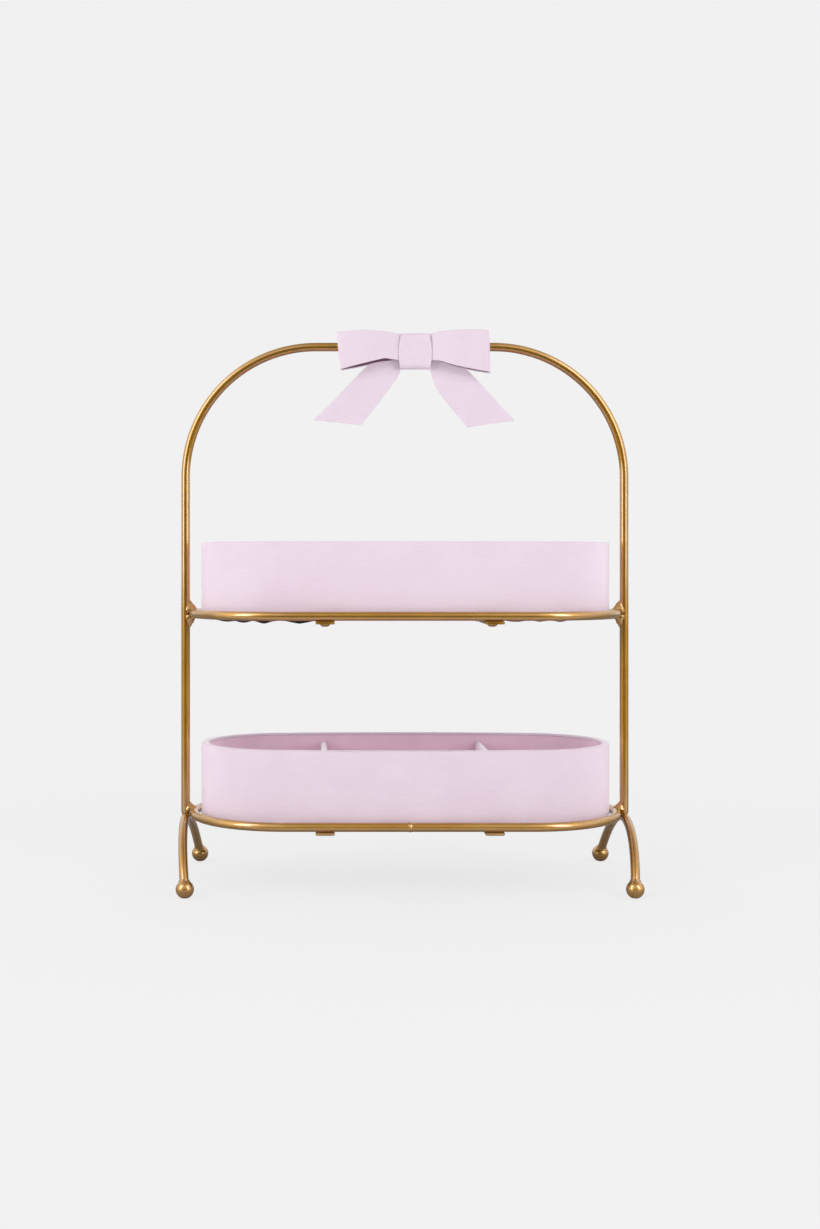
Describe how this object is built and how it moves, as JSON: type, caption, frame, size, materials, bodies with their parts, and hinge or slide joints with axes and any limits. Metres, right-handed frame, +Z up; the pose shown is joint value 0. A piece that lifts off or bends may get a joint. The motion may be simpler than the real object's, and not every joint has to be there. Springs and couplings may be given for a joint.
{
  "type": "tiered jewelry organizer",
  "caption": "Tiered jewelry organizer: a welded gold rod stand with an arched handle and ball feet carries lined oval leatherette trays with dividers; a bow is tied to the handle.",
  "frame": {"origin": "on the floor under the middle of the stand", "axes": "+Z up, +X to the viewer's right, -Y towards the viewer, who sees the bow in front of the handle"},
  "size_m": [0.2574, 0.116, 0.3137],
  "materials": {
    "gold_frame": "satin antique gold",
    "screws": "satin",
    "leatherette": "matt, finely grained",
    "bow": "matt, finely grained",
    "lining": "soft, brushed",
    "wall_board": "plain",
    "base_board": "plain fibreboard",
    "felt": "felt"
  },
  "bodies": {
    "root": {"arch_rod": "gold_frame", "upper_ring": "gold_frame", "lower_ring": "gold_frame", "left_leg_arch": "gold_frame", "right_leg_arch": "gold_frame", "front_left_foot": "gold_frame", "front_right_foot": "gold_frame", "rear_left_foot": "gold_frame", "rear_right_foot": "gold_frame", "upper_left_strap": "gold_frame", "upper_right_strap": "gold_frame", "lower_left_strap": "gold_frame", "lower_right_strap": "gold_frame", "upper_left_front_screw": "screws", "upper_left_rear_screw": "screws", "upper_right_front_screw": "screws", "upper_right_rear_screw": "screws", "lower_left_front_screw": "screws", "lower_left_rear_screw": "screws", "lower_right_front_screw": "screws", "lower_right_rear_screw": "screws", "upper_tray_outer_wrap": "leatherette", "upper_tray_wall_board": "wall_board", "upper_tray_inner_lining": "lining", "upper_tray_base_board": "base_board", "upper_tray_floor_pad": "lining", "upper_tray_base_felt": "felt", "upper_tray_left_divider": "leatherette", "upper_tray_right_divider": "leatherette", "lower_tray_outer_wrap": "leatherette", "lower_tray_wall_board": "wall_board", "lower_tray_inner_lining": "lining", "lower_tray_base_board": "base_board", "lower_tray_floor_pad": "lining", "lower_tray_base_felt": "felt", "lower_tray_left_divider": "leatherette", "lower_tray_right_divider": "leatherette", "bow_loops": "bow", "bow_left_tail": "bow", "bow_right_tail": "bow", "bow_knot": "bow"}
  },
  "joints": []
}
